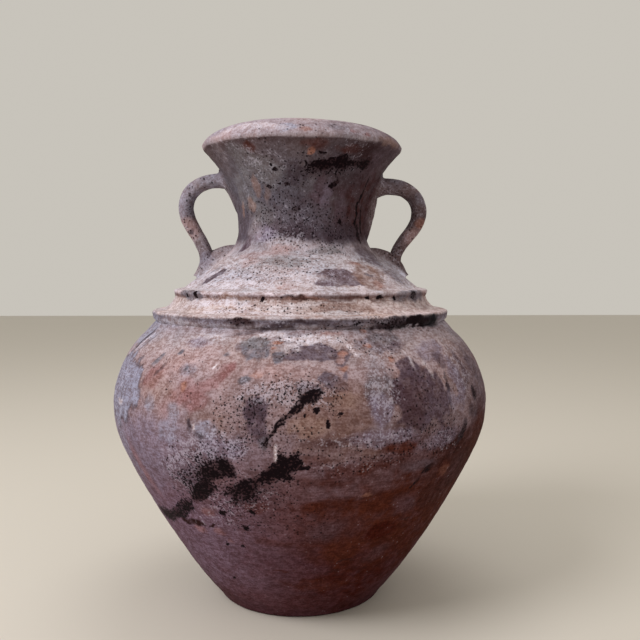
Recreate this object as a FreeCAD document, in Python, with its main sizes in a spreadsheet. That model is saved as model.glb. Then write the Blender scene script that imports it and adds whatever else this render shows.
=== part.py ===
import FreeCAD, Part
import math
import os
import re

import Sketcher

# Floor amphora in fired clay, put together from the sections that a potter throws and lutes.
# Millimetres. Origin at the centre of the base, +Z up, the handles on the X axis.
# Every section is a ring turned about Z. Its outline is a list of corners: radius, height and,
# where the edge to the next corner is an arc, that arc's radius. An arc swells out of the clay,
# or scoops into it where its radius has a minus sign. Outlines run with the clay on their left.

SIZES = {
    # Thickness of the body's wall, and the slab that closes the base
    "wall": 14, "floor_thickness": 15, "floor_radius": 92, "floor_top_radius": 99.5,
    # Heel, flank and belly, up to the seam at the widest place
    "base_radius": 103, "heel_radius": 108.5, "heel_height": 3.5, "heel_arc": 6.1,
    "flank_radius": 231, "flank_height": 204.4, "flank_arc": 1030,
    "inner_flank_radius": 218, "inner_flank_height": 210,
    "belly_radius": 243, "belly_height": 260, "belly_arc": 135,
    "seam_inner_radius": 228.8, "seam_inner_height": 266,
    # Upper body, from the belly seam to the ledge under the lower ridge
    "crown_radius": 202, "crown_height": 350, "crown_arc": 119.3,
    "inner_crown_radius": 192.8, "inner_crown_height": 339.4,
    "ledge_radius": 190, "ledge_height": 363.5, "ledge_inner_radius": 170.5,
    # Lower ridge: a coil bent round the foot of the collar
    "lower_seat_radius": 181, "lower_under_radius": 192.5,
    "lower_ridge_radius": 194.5, "lower_crest_height": 374.5,
    "lower_top_radius": 192, "lower_top_height": 377, "crest_arc": 3,
    # Collar: the coved step between the two ridges
    "cove_height": 378.4, "cove_arc": 25, "step_radius": 165.5, "step_height": 395,
    "step_inner_radius": 145.3, "collar_inner_radius": 155, "collar_inner_height": 384,
    # Upper ridge
    "upper_seat_radius": 154, "upper_ridge_radius": 167.2, "upper_crest_height": 400.8,
    "upper_top_radius": 164.5, "upper_top_height": 403.6,
    # Shoulder cone, then the neck's foot, waist and flare
    "cone_low_height": 406, "cone_high_radius": 100, "cone_high_height": 448.5,
    "neck_seam_radius": 85.1, "neck_seam_height": 445,
    "inner_cone_radius": 91.5, "inner_cone_height": 437.8,
    "fillet_arc": 42.5, "waist_radius": 84.5, "waist_height": 482, "waist_arc": 138,
    "flare_radius": 88.5, "flare_height": 515, "flare_arc": 150,
    "throat_radius": 71, "throat_low_height": 482, "throat_high_height": 505, "throat_arc": 55.5,
    "mouth_flare_arc": 292, "seat_inner_radius": 79.5, "seat_height": 575, "seat_step_radius": 105,
    # Rolled lip
    "lip_under_radius": 129.5, "lip_under_height": 582.5, "lip_edge_arc": 6,
    "lip_edge_radius": 131.5, "lip_edge_height": 587, "brow_arc": 32,
    "brow_radius": 120, "brow_height": 600, "lip_arc": 75.9,
    "lip_top_radius": 94.4, "lip_top_height": 609.8, "mouth_arc": 13,
    "mouth_radius": 79, "mouth_height": 597,
    # Handles: a strap with round edges, out of the neck, over one bend and down to the shoulder.
    # The two were pulled by hand and differ.
    "strap_thickness": 19, "strap_width": 28, "strap_start": 80, "strap_end_height": 410,
    "left_bend_x": 118.6, "left_bend_height": 509.5, "left_bend_arc": 34.8,
    "left_lean": 29, "left_run": 39, "left_foot_arc": 35,
    "right_bend_x": 121.5, "right_bend_height": 504.5, "right_bend_arc": 34.4,
    "right_lean": 41, "right_run": 26, "right_foot_arc": 28,
    # Clay smeared down the neck under each handle, and pressed round each handle's foot
    "tongue_radius": 86.5, "tongue_height": 508, "tongue_length": 84, "tongue_width": 32,
    "tongue_depth": 6.5, "tongue_tilt": 9,
    "skirt_radius": 127, "skirt_height": 427.5, "skirt_length": 50, "skirt_width": 42,
    "skirt_depth": 7,
}

LOWER_WALL = (
    ("floor_radius", "0"), ("base_radius", "0", "heel_arc"),
    ("heel_radius", "heel_height", "flank_arc"),
    ("flank_radius", "flank_height", "belly_arc"), ("belly_radius", "belly_height"),
    ("seam_inner_radius", "seam_inner_height"),
    ("belly_radius - wall", "belly_height", "-(belly_arc - wall)"),
    ("inner_flank_radius", "inner_flank_height", "-(flank_arc - wall)"),
    ("floor_top_radius", "floor_thickness"),
)
BASE_DISC = (
    ("0", "0"), ("floor_radius", "0"), ("floor_top_radius", "floor_thickness"),
    ("0", "floor_thickness"),
)
UPPER_WALL = (
    ("belly_radius", "belly_height", "crown_arc"), ("crown_radius", "crown_height"),
    ("ledge_radius", "ledge_height"), ("ledge_inner_radius", "ledge_height"),
    ("inner_crown_radius", "inner_crown_height", "-(crown_arc - wall)"),
    ("seam_inner_radius", "seam_inner_height"),
)
LOWER_RIDGE = (
    ("lower_seat_radius", "ledge_height"), ("lower_under_radius", "ledge_height"),
    ("lower_ridge_radius", "lower_crest_height", "crest_arc"),
    ("lower_top_radius", "lower_top_height"), ("lower_seat_radius", "cove_height"),
)
COLLAR = (
    ("ledge_inner_radius", "ledge_height"), ("lower_seat_radius", "ledge_height"),
    ("lower_seat_radius", "cove_height", "-cove_arc"), ("step_radius", "step_height"),
    ("step_inner_radius", "step_height"), ("collar_inner_radius", "collar_inner_height"),
)
UPPER_RIDGE = (
    ("upper_seat_radius", "step_height"), ("step_radius", "step_height"),
    ("upper_ridge_radius", "upper_crest_height", "crest_arc"),
    ("upper_top_radius", "upper_top_height"), ("upper_seat_radius", "cone_low_height"),
)
SHOULDER = (
    ("step_inner_radius", "step_height"), ("upper_seat_radius", "step_height"),
    ("upper_seat_radius", "cone_low_height"), ("cone_high_radius", "cone_high_height"),
    ("neck_seam_radius", "neck_seam_height", "throat_arc"),
    ("inner_cone_radius", "inner_cone_height"),
)
NECK = (
    ("neck_seam_radius", "neck_seam_height"),
    ("cone_high_radius", "cone_high_height", "-fillet_arc"),
    ("waist_radius", "waist_height", "-waist_arc"),
    ("flare_radius", "flare_height", "-flare_arc"),
    ("lip_under_radius", "lip_under_height"), ("seat_step_radius", "lip_under_height"),
    ("seat_step_radius", "seat_height"), ("seat_inner_radius", "seat_height", "mouth_flare_arc"),
    ("throat_radius", "throat_high_height"), ("throat_radius", "throat_low_height", "throat_arc"),
)
RIM_LIP = (
    ("seat_inner_radius", "seat_height"), ("seat_step_radius", "seat_height"),
    ("seat_step_radius", "lip_under_height"),
    ("lip_under_radius", "lip_under_height", "lip_edge_arc"),
    ("lip_edge_radius", "lip_edge_height", "brow_arc"),
    ("brow_radius", "brow_height", "lip_arc"),
    ("lip_top_radius", "lip_top_height", "mouth_arc"), ("mouth_radius", "mouth_height"),
)
# The outside of the shoulder and neck, filled in: what the handles are trimmed against
TRIM_CORE = (
    ("0", "step_height"), ("upper_seat_radius", "step_height"),
    ("upper_seat_radius", "cone_low_height"),
    ("cone_high_radius", "cone_high_height", "-fillet_arc"),
    ("waist_radius", "waist_height", "-waist_arc"),
    ("flare_radius", "flare_height", "-flare_arc"),
    ("lip_under_radius", "lip_under_height"), ("0", "lip_under_height"),
)
RINGS = {
    "base_disc": BASE_DISC, "lower_wall": LOWER_WALL, "upper_wall": UPPER_WALL,
    "lower_ridge": LOWER_RIDGE, "collar": COLLAR, "upper_ridge": UPPER_RIDGE,
    "shoulder": SHOULDER, "neck": NECK, "rim_lip": RIM_LIP,
}
SIZE_NAME = r"[a-z]+(?:_[a-z]+)*"
START, END = 1, 2
ORIGIN, HORIZONTAL, VERTICAL = -1, -1, -2

doc = FreeCAD.newDocument("amphora")
sheet = doc.addObject("Spreadsheet::Sheet", "Sizes")


def fill_sheet():
    for row, (name, value) in enumerate(SIZES.items(), start=1):
        sheet.set(f"A{row}", name)
        sheet.set(f"B{row}", str(value))
        sheet.setAlias(f"B{row}", name)
    doc.recompute()


def bound(formula):
    """The formula with each name pointing at its cell in the sheet."""
    return re.sub(SIZE_NAME, lambda name: "Sizes." + name.group(), formula)


def amount(formula):
    """The formula's value now, for a first guess at where a corner lies."""
    numbers = re.sub(SIZE_NAME, lambda name: str(SIZES[name.group()]), formula)
    return FreeCAD.Units.Quantity(numbers).Value


def origin_plane(body, role):
    return next(plane for plane in body.Origin.OriginFeatures if plane.Role == role)


def new_sketch(body, name, role):
    sketch = body.newObject("Sketcher::SketchObject", name)
    sketch.AttachmentSupport = [(origin_plane(body, role), "")]
    sketch.MapMode = "FlatFace"
    return sketch


def constrain(sketch, formula, kind, *target):
    """Adds a dimension to the sketch and ties it to the sheet."""
    index = sketch.addConstraint(Sketcher.Constraint(kind, *target))
    sketch.setExpression(f"Constraints[{index}]", bound(formula))


def pin(sketch, edge, end, across, up):
    """Holds one end of an edge at its place from the sketch's origin."""
    for kind, formula, axis in (("DistanceX", across, VERTICAL), ("DistanceY", up, HORIZONTAL)):
        if formula == "0":
            sketch.addConstraint(Sketcher.Constraint("PointOnObject", edge, end, axis))
        else:
            constrain(sketch, formula, kind, ORIGIN, START, edge, end, amount(formula))


def arc_between(start, end, radius):
    """The shorter arc that runs anticlockwise from start to end."""
    chord = end - start
    inset = math.sqrt(radius ** 2 - (chord.Length / 2) ** 2)
    centre = (start + end) / 2 + FreeCAD.Vector(-chord.y, chord.x, 0).normalize() * inset
    angles = [math.atan2(point.y - centre.y, point.x - centre.x) for point in (start, end)]
    return Part.ArcOfCircle(Part.Circle(centre, FreeCAD.Vector(0, 0, 1), radius), *angles)


def draw_outline(sketch, outline):
    """Draws a closed outline, with every corner and arc bound to the sheet."""
    corners = [FreeCAD.Vector(amount(corner[0]), amount(corner[1]), 0) for corner in outline]
    edges = []
    for index, corner in enumerate(outline):
        start, end = corners[index], corners[(index + 1) % len(corners)]
        head, tail = START, END
        if len(corner) == 2:
            edge = sketch.addGeometry(Part.LineSegment(start, end), False)
        else:
            formula = corner[2].lstrip("-")
            if corner[2].startswith("-"):
                start, end = end, start
                head, tail = tail, head
            edge = sketch.addGeometry(arc_between(start, end, amount(formula)), False)
            constrain(sketch, formula, "Radius", edge, amount(formula))
        edges.append((edge, head, tail))
    for index, corner in enumerate(outline):
        edge, head, _ = edges[index]
        before, _, tail = edges[index - 1]
        sketch.addConstraint(Sketcher.Constraint("Coincident", before, tail, edge, head))
        pin(sketch, edge, head, corner[0], corner[1])


def turned_ring(label, outline):
    """A body turned about Z from its outline in the XZ plane."""
    body = doc.addObject("PartDesign::Body", label)
    sketch = new_sketch(body, label + "_outline", "XZ_Plane")
    draw_outline(sketch, outline)
    turn = body.newObject("PartDesign::Revolution", label + "_turn")
    turn.Profile = sketch
    turn.ReferenceAxis = (sketch, ["V_Axis"])
    turn.Angle = 360
    doc.recompute()
    return body


def draw_handle_path(sketch, side):
    """Level out of the neck, round the bend, down the leaning run, then upright into the foot."""
    bend_x, bend_height, bend_arc, lean_angle, run, foot_arc = (
        amount(f"{side}_{name}")
        for name in ("bend_x", "bend_height", "bend_arc", "lean", "run", "foot_arc"))
    lean = math.radians(lean_angle)
    outward = FreeCAD.Vector(math.cos(lean), -math.sin(lean), 0)
    downward = FreeCAD.Vector(-math.sin(lean), -math.cos(lean), 0)
    normal = FreeCAD.Vector(0, 0, 1)
    centre = FreeCAD.Vector(bend_x, bend_height, 0)
    top = centre + FreeCAD.Vector(0, bend_arc, 0)
    run_start = centre + outward * bend_arc
    run_end = run_start + downward * run
    foot_centre = run_end + outward * foot_arc
    foot_start = foot_centre - FreeCAD.Vector(foot_arc, 0, 0)
    foot_end = FreeCAD.Vector(foot_start.x, amount("strap_end_height"), 0)

    root = sketch.addGeometry(
        Part.LineSegment(FreeCAD.Vector(amount("strap_start"), top.y, 0), top), False)
    bend = sketch.addGeometry(
        Part.ArcOfCircle(Part.Circle(centre, normal, bend_arc), -lean, math.pi / 2), False)
    leaning = sketch.addGeometry(Part.LineSegment(run_start, run_end), False)
    ankle = sketch.addGeometry(
        Part.ArcOfCircle(Part.Circle(foot_centre, normal, foot_arc), math.pi - lean, math.pi),
        False)
    upright = sketch.addGeometry(Part.LineSegment(foot_start, foot_end), False)

    centre_point = 3
    sketch.addConstraint(Sketcher.Constraint("Horizontal", root))
    sketch.addConstraint(Sketcher.Constraint("Vertical", upright))
    for edge, end, following, head in (
            (root, END, bend, END), (bend, START, leaning, START),
            (leaning, END, ankle, START), (ankle, END, upright, START)):
        sketch.addConstraint(Sketcher.Constraint("Tangent", edge, end, following, head))
    pin(sketch, bend, centre_point, f"{side}_bend_x", f"{side}_bend_height")
    constrain(sketch, f"{side}_bend_arc", "Radius", bend, bend_arc)
    constrain(sketch, f"{side}_foot_arc", "Radius", ankle, foot_arc)
    constrain(sketch, f"{side}_run", "Distance", leaning, run)
    constrain(sketch, "strap_start", "DistanceX", ORIGIN, START, root, START,
              amount("strap_start"))
    constrain(sketch, "strap_end_height", "DistanceY", ORIGIN, START, upright, END,
              amount("strap_end_height"))
    angle = sketch.addConstraint(
        Sketcher.Constraint("Angle", leaning, -(math.pi / 2 + lean)))
    sketch.setExpression(f"Constraints[{angle}]", f"-(90 + Sizes.{side}_lean) * 1 deg")


def draw_strap_section(sketch, side):
    """A flat strap with half-round edges, centred on the start of the path."""
    height = amount(f"{side}_bend_height + {side}_bend_arc")
    radius = amount("strap_thickness / 2")
    reach = amount("(strap_width - strap_thickness) / 2")
    normal = FreeCAD.Vector(0, 0, 1)
    near, far = FreeCAD.Vector(-reach, height, 0), FreeCAD.Vector(reach, height, 0)
    rise = FreeCAD.Vector(0, radius, 0)
    right = sketch.addGeometry(
        Part.ArcOfCircle(Part.Circle(far, normal, radius), -math.pi / 2, math.pi / 2), False)
    top = sketch.addGeometry(Part.LineSegment(far + rise, near + rise), False)
    left = sketch.addGeometry(
        Part.ArcOfCircle(Part.Circle(near, normal, radius), math.pi / 2, 3 * math.pi / 2), False)
    bottom = sketch.addGeometry(Part.LineSegment(near - rise, far - rise), False)
    for edge, following in ((right, top), (top, left), (left, bottom), (bottom, right)):
        sketch.addConstraint(Sketcher.Constraint("Tangent", edge, END, following, START))
    sketch.addConstraint(Sketcher.Constraint("Horizontal", top))
    centre_point = 3
    constrain(sketch, "strap_thickness / 2", "Radius", right, radius)
    constrain(sketch, "(strap_width - strap_thickness) / 2", "DistanceX",
              ORIGIN, START, right, centre_point, reach)
    constrain(sketch, "(strap_width - strap_thickness) / 2", "DistanceX",
              left, centre_point, ORIGIN, START, reach)
    constrain(sketch, f"{side}_bend_height + {side}_bend_arc", "DistanceY",
              ORIGIN, START, right, centre_point, height)


def handle_strap(side, placement):
    """The strap swept along its path, with both ends still running into the wall."""
    body = doc.addObject("PartDesign::Body", f"{side}_strap")
    path = new_sketch(body, f"{side}_path", "XZ_Plane")
    draw_handle_path(path, side)
    section = new_sketch(body, f"{side}_section", "YZ_Plane")
    section.setExpression("AttachmentOffset.Base.z", "Sizes.strap_start")
    draw_strap_section(section, side)
    doc.recompute()
    sweep = body.newObject("PartDesign::AdditivePipe", f"{side}_sweep")
    sweep.Profile = section
    sweep.Spine = (path, [f"Edge{number + 1}" for number in range(len(path.Geometry))])
    body.Placement = placement
    doc.recompute()
    return body


def clay_lens(name, pad, outward, tilt):
    """A lens of clay sized by the pad's cells, its long axis tilted outwards from upright."""
    lens = doc.addObject("Part::Ellipsoid", name)
    for radius, formula in (
            ("Radius1", f"{pad}_length / 2"), ("Radius2", f"{pad}_depth"),
            ("Radius3", f"{pad}_width / 2")):
        lens.setExpression(radius, bound(formula))
    lens.Placement = FreeCAD.Placement(
        FreeCAD.Vector(), FreeCAD.Rotation(FreeCAD.Vector(0, 1, 0), outward * tilt))
    lens.setExpression("Placement.Base.x", f"Sizes.{pad}_radius * {outward}")
    lens.setExpression("Placement.Base.z", f"Sizes.{pad}_height")
    return lens


def trimmed(label, blank, *tools):
    """The blank with each tool cut away; the last cut carries the sub-part's name."""
    for number, tool in enumerate(tools):
        last = number == len(tools) - 1
        cut = doc.addObject("Part::Cut", label if last else f"{label}_trim")
        cut.Base = blank
        cut.Tool = tool
        blank = cut
    doc.recompute()
    return blank


def handle_set(side, core):
    """One handle with the tongue under its root and the skirt round its foot."""
    outward = 1 if side == "right" else -1
    turn = FreeCAD.Rotation(FreeCAD.Vector(0, 0, 1), 0 if outward > 0 else 180)
    facing = FreeCAD.Placement(FreeCAD.Vector(), turn)
    handle = trimmed(f"{side}_handle", handle_strap(side, facing), core)

    tongue = clay_lens(f"{side}_tongue_lens", "tongue", outward, amount("tongue_tilt"))
    slope = math.degrees(math.atan2(
        amount("cone_high_height - cone_low_height"),
        amount("upper_seat_radius - cone_high_radius")))
    skirt = clay_lens(f"{side}_skirt_lens", "skirt", outward, slope - 90)
    return [
        handle,
        trimmed(f"{side}_root_tongue", tongue, core, handle),
        trimmed(f"{side}_foot_skirt", skirt, core, handle),
    ]


def build():
    fill_sheet()
    pieces = [turned_ring(label, outline) for label, outline in RINGS.items()]
    core = turned_ring("trim_core", TRIM_CORE)
    for side in ("left", "right"):
        pieces += handle_set(side, core)
    doc.recompute()
    return pieces


def check(pieces):
    for thing in doc.Objects:
        if "Invalid" in thing.State or "Error" in thing.State:
            raise RuntimeError(f"{thing.Label} did not build: {thing.State}")
    for piece in pieces:
        if piece.Shape.isNull() or not piece.Shape.isValid() or len(piece.Shape.Solids) != 1:
            raise RuntimeError(f"{piece.Label} is not one sound solid")


def export(pieces):
    os.makedirs("parts", exist_ok=True)
    for piece in pieces:
        piece.Shape.exportStep(f"parts/{piece.Label}.step")
        box = piece.Shape.optimalBoundingBox(False)
        print(f"{piece.Label}: {piece.Shape.Volume / 1000:.1f} cm3, "
              f"z {box.ZMin:.1f} to {box.ZMax:.1f}")


amphora = build()
check(amphora)
export(amphora)
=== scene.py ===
import math
from itertools import product

import bpy
import numpy as np
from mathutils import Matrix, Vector


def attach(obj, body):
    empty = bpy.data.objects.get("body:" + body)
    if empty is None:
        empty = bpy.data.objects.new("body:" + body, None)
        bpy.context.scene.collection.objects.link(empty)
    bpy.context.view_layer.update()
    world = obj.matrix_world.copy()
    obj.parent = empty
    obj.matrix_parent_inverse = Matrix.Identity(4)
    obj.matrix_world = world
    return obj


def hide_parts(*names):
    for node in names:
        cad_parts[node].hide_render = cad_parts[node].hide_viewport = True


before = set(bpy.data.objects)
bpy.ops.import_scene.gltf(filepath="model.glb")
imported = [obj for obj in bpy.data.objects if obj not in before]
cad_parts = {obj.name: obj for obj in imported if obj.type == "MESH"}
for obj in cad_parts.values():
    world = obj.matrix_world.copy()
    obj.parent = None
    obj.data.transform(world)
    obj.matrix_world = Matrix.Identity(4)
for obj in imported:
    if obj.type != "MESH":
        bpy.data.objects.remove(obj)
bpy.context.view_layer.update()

# The amphora's looks: every clay piece is turned again from its CAD outline on a fine mesh, worn and
# lumped by one field of position so that the joints still meet, and painted in layers.
# Lengths are metres, except in the tables below, which are in millimetres and degrees.
# Azimuth is 0 at the front and grows to the viewer's right.

MM = 0.001

# node: material slot, steps round the axis, finest row in mm
RINGS = {
    "lower_wall": ("body_clay", 570, 2.5),
    "upper_wall": ("body_clay", 800, 1.8),
    "lower_ridge": ("ridge_clay", 720, 1.5),
    "collar": ("shoulder_clay", 720, 1.7),
    "upper_ridge": ("ridge_clay", 680, 1.4),
    "shoulder": ("shoulder_clay", 640, 1.7),
    "neck": ("neck_clay", 560, 1.8),
    "rim_lip": ("lip_clay", 640, 1.7),
}
HIDDEN_ROW = 7
CORNER_TURN = math.radians(12)


# ---------------- small mathematics

def smooth(low, high, value):
    """0 at low, 1 at high, with an even S between them."""
    share = np.clip((value - low) / (high - low), 0, 1)
    return share * share * (3 - 2 * share)


def unit(vectors):
    return vectors / np.maximum(np.linalg.norm(vectors, axis=-1, keepdims=True), 1e-12)


NOISE_RANDOM = np.random.default_rng(31)
HASH_SIZE = 4096
GRADIENTS = unit(NOISE_RANDOM.normal(size=(HASH_SIZE, 3)))
HASH_PRIMES = (73856093, 19349663, 83492791)


def noise(points, size, seed=0):
    """Smooth noise from about -1 to 1, with lumps about size metres across."""
    spots = points / size + seed * np.array([17.3, 5.7, 11.9])
    cells = np.floor(spots).astype(np.int64)
    within = spots - cells
    eased = within ** 3 * (within * (within * 6 - 15) + 10)
    total = np.zeros(len(points))
    for corner in product((0, 1), repeat=3):
        place = cells + corner
        code = np.zeros(len(points), np.int64)
        for axis, prime in enumerate(HASH_PRIMES):
            code ^= place[:, axis] * prime
        slope = GRADIENTS[code & (HASH_SIZE - 1)]
        weight = np.prod(np.where(corner, eased, 1 - eased), axis=1)
        total += weight * np.sum(slope * (within - corner), axis=1)
    return 1.7 * total


def noise_vector(points, size, seed=0):
    return np.stack([noise(points, size, seed + axis) for axis in range(3)], axis=1)


def spline(knots, step):
    """Points about step apart on a smooth curve through the knots; every column is interpolated."""
    knots = np.asarray(knots, float)
    gaps = np.linalg.norm(np.diff(knots[:, :2], axis=0), axis=1)
    along = np.concatenate([[0], np.cumsum(gaps)])
    slope = np.zeros_like(knots) + (knots[-1] - knots[0]) / along[-1]
    if len(knots) > 2:
        slope = np.gradient(knots, along, axis=0, edge_order=2)
    count = max(1, round(along[-1] / step))
    spots = np.linspace(0, along[-1], count + 1)
    index = np.clip(np.searchsorted(along, spots, "right") - 1, 0, len(gaps) - 1)
    span = gaps[index][:, None]
    t = ((spots - along[index]) / gaps[index])[:, None]
    return ((2 * t ** 3 - 3 * t ** 2 + 1) * knots[index] + (t ** 3 - 2 * t ** 2 + t) * span * slope[index]
            + (3 * t ** 2 - 2 * t ** 3) * knots[index + 1] + (t ** 3 - t ** 2) * span * slope[index + 1])


# ---------------- outlines read from the frame

def cad_outline(node):
    """The closed (radius, height) outline that a ring is turned from, in mm, clay on the left."""
    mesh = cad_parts[node].data
    links = {}
    for edge in mesh.edges:
        ends = [mesh.vertices[index].co for index in edge.vertices]
        if any(abs(end.y) > 2e-5 or end.x < 0 for end in ends):
            continue
        first, second = [(round(end.x / MM, 2), round(end.z / MM, 2)) for end in ends]
        if first != second:
            links.setdefault(first, set()).add(second)
            links.setdefault(second, set()).add(first)
    start = min(links)
    loop = [start]
    while len(loop) < len(links):
        loop.append(next(spot for spot in sorted(links[loop[-1]]) if spot not in loop))
    loop = np.array(loop)
    after = np.roll(loop, -1, axis=0)
    area = np.sum(loop[:, 0] * after[:, 1] - after[:, 0] * loop[:, 1])
    return loop if area > 0 else loop[::-1]


def fine_outline(node, row):
    """The outline with rows of that size where it shows and coarse ones where it doesn't."""
    loop = cad_outline(node)
    ahead = np.roll(loop, -1, axis=0) - loop
    behind = loop - np.roll(loop, 1, axis=0)
    turn = np.arctan2(behind[:, 0] * ahead[:, 1] - behind[:, 1] * ahead[:, 0],
                      np.sum(behind * ahead, axis=1))
    corners = [int(index) for index in np.flatnonzero(abs(turn) > CORNER_TURN)]
    rows, shown = [], []
    for first, last in zip(corners, corners[1:] + [corners[0] + len(loop)]):
        stretch = np.array([loop[index % len(loop)] for index in range(first, last + 1)])
        run = stretch[-1] - stretch[0]
        outward = np.array([run[1], -run[0]]) / max(np.linalg.norm(run), 1e-9)
        outside = outward[0] > 0.15 or (outward[1] > 0.3 and stretch[:, 1].max() > 590)
        points = spline(stretch, row if outside else HIDDEN_ROW)[:-1]
        rows.append(points)
        shown.append(np.full(len(points), outside))
    shown = np.concatenate(shown)
    return np.concatenate(rows), shown | np.roll(shown, 1)


OUTLINES = {node: fine_outline(node, row) for node, (_, _, row) in RINGS.items()}


def outer_profile():
    """Heights and the jar's outer radius at each, in metres, past all the rings."""
    points = np.concatenate([outline[shown] for outline, shown in OUTLINES.values()]) * MM
    heights = np.linspace(0.001, points[:, 1].max(), 600)
    radii = np.array([points[abs(points[:, 1] - height) < 0.0016][:, 0].max(initial=0)
                      for height in heights])
    good = radii > 0
    return heights[good], radii[good]


PROFILE_HEIGHT, PROFILE_RADIUS = outer_profile()


def wall_point(azimuth, height):
    """The point of the outer wall at that azimuth, in radians, and height."""
    radius = np.interp(height, PROFILE_HEIGHT, PROFILE_RADIUS)
    return np.stack([radius * np.sin(azimuth), -radius * np.cos(azimuth), height], axis=-1)


def wall_frame(azimuth, height):
    """The wall's point there with its level, rising and outward directions."""
    reach = 0.012
    level = np.stack([np.cos(azimuth), np.sin(azimuth), 0 * azimuth], axis=-1)
    rise = unit(wall_point(azimuth, height + reach) - wall_point(azimuth, height - reach))
    return wall_point(azimuth, height), level, rise, np.cross(level, rise)


# ---------------- wear and lumps

# Four heights of a band: where it begins, is whole, is whole still and ends; then two radii from
# none to whole
LOWER_CREST, LOWER_FACE = (0.361, 0.366, 0.376, 0.381), (0.183, 0.189)
UPPER_CREST, UPPER_FACE = (0.394, 0.397, 0.403, 0.408), (0.156, 0.162)
RIDGE_FOOT, FOOT_FACE = (0.3618, 0.3634, 0.3636, 0.3668), (0.1902, 0.192)
LOWER_BODY = (0.0, 0.05, 0.26, 0.31)
BELLY_SEAM = 0.2585
# The core of the lip, and the heights between which points begin to move out from it
LIP_RADIUS, LIP_HEIGHT, LIP_START = 0.105, 0.590, (0.578, 0.592)
# How far the body stands to the right of its foot, and the neck to the right of the body, in mm;
# and the mouth's slope down that way
BODY_SHIFT, NECK_SHIFT, MOUTH_SLOPE = 0.5, 2.0, 0.008


def band(limits, value):
    """1 between the two middle limits and 0 beyond the two outer ones."""
    begins, whole, still_whole, ends = limits
    return smooth(begins, whole, value) * smooth(ends, still_whole, value)


def turn_of(points):
    return np.arctan2(points[:, 0], -points[:, 1])


def outward(points):
    """The way in which a point is pushed: level from the axis, and all round the core of the lip."""
    radial = unit(points * [1, 1, 0])
    core = radial * LIP_RADIUS + np.array([0, 0, LIP_HEIGHT])
    share = smooth(*LIP_START, points[:, 2])[:, None]
    return unit(radial * (1 - share) + unit(points - core) * share + [0, 0, 1e-9])


def swelling(points):
    """How far the hand-made surface stands out from the turned one, in metres."""
    height = points[:, 2]
    radius = np.hypot(points[:, 0], points[:, 1])
    lumps = (0.9 * noise(points, 0.12, 1) + 0.5 * noise(points, 0.045, 2)
             + 0.22 * noise(points, 0.016, 3) + 0.12 * noise(points, 0.007, 4))
    level = points * [0.12, 0.12, 1]
    lines = 0.16 * noise(level, 0.0042, 5) + 0.22 * noise(level, 0.013, 6)
    lower = band(LOWER_CREST, height) * smooth(*LOWER_FACE, radius)
    upper = band(UPPER_CREST, height) * smooth(*UPPER_FACE, radius)
    chips = smooth(0.25, 0.6, noise(points * [1, 1, 0.4], 0.024, 7))
    crest = 1.0 * noise(points * [1, 1, 0.4], 0.03, 8) + 0.6 * noise(points, 0.011, 9) - 1.5 * chips
    seam = np.exp(-((height - BELLY_SEAM - 0.0006 * noise(points, 0.05, 10)) / 0.0011) ** 2)
    foot = band(RIDGE_FOOT, height) * smooth(*FOOT_FACE, radius)
    smeared = (2.1 + 0.7 * noise(points * [1, 1, 0], 0.022, 11)) * foot
    fuller = 1.7 * band(LOWER_BODY, height)
    oval = 0.7 * np.cos(2 * turn_of(points) + 0.6)
    return MM * (oval + fuller + lumps + lines + crest * (lower + upper) - 0.35 * seam - smeared)


def worn(points, crust=0):
    """The points where the hand-made surface is; crust is the thickness of the layers on it."""
    return leant(points + outward(points) * (swelling(points) + crust)[:, None])


def leant(points):
    """The points of a jar whose neck stands a little to the right of the body, its mouth tipped."""
    height = points[:, 2]
    moved = np.array(points)
    moved[:, 0] += MM * (BODY_SHIFT * smooth(0.0, 0.1, height) + NECK_SHIFT * smooth(0.385, 0.43, height))
    moved[:, 2] -= MOUTH_SLOPE * smooth(0.40, 0.60, height) * points[:, 0]
    return moved


# ---------------- paint

# sRGB, from 0 to 255
PALETTE = {
    "lilac": (138, 135, 155), "pale_blue": (140, 138, 156), "chalk": (206, 194, 202),
    "cream": (196, 170, 160), "rose": (164, 138, 140), "pink": (164, 134, 134), "ash": (113, 97, 106),
    "red": (136, 96, 98), "rust": (80, 37, 26), "burnt": (60, 16, 6), "orange": (150, 106, 94),
    "ochre": (116, 89, 85), "tan": (142, 114, 106), "slate": (106, 100, 110), "moss": (114, 109, 114),
    "mauve": (98, 84, 94), "plum": (88, 71, 82), "heather": (114, 91, 108), "char": (62, 50, 58),
    "soot": (18, 8, 13), "tar": (30, 31, 35), "umber": (46, 24, 24), "dusk": (66, 40, 42),
    # The mauve grey after bark colours smoky patches and also the painted shade down the right side.
    "bark": (68, 28, 17), "smoke": (92, 78, 88), "violet": (126, 114, 134),
    "scorch": (40, 22, 25), "lime": (196, 188, 204), "inside": (104, 74, 66),
    "bare_dark": (88, 60, 54), "bare_light": (122, 88, 76),
    # The right strap's colour is darker than the left's, partly painted shade on the side away from the
    # light.
    "left_strap": (142, 129, 135), "right_strap": (112, 96, 100),
}

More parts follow.
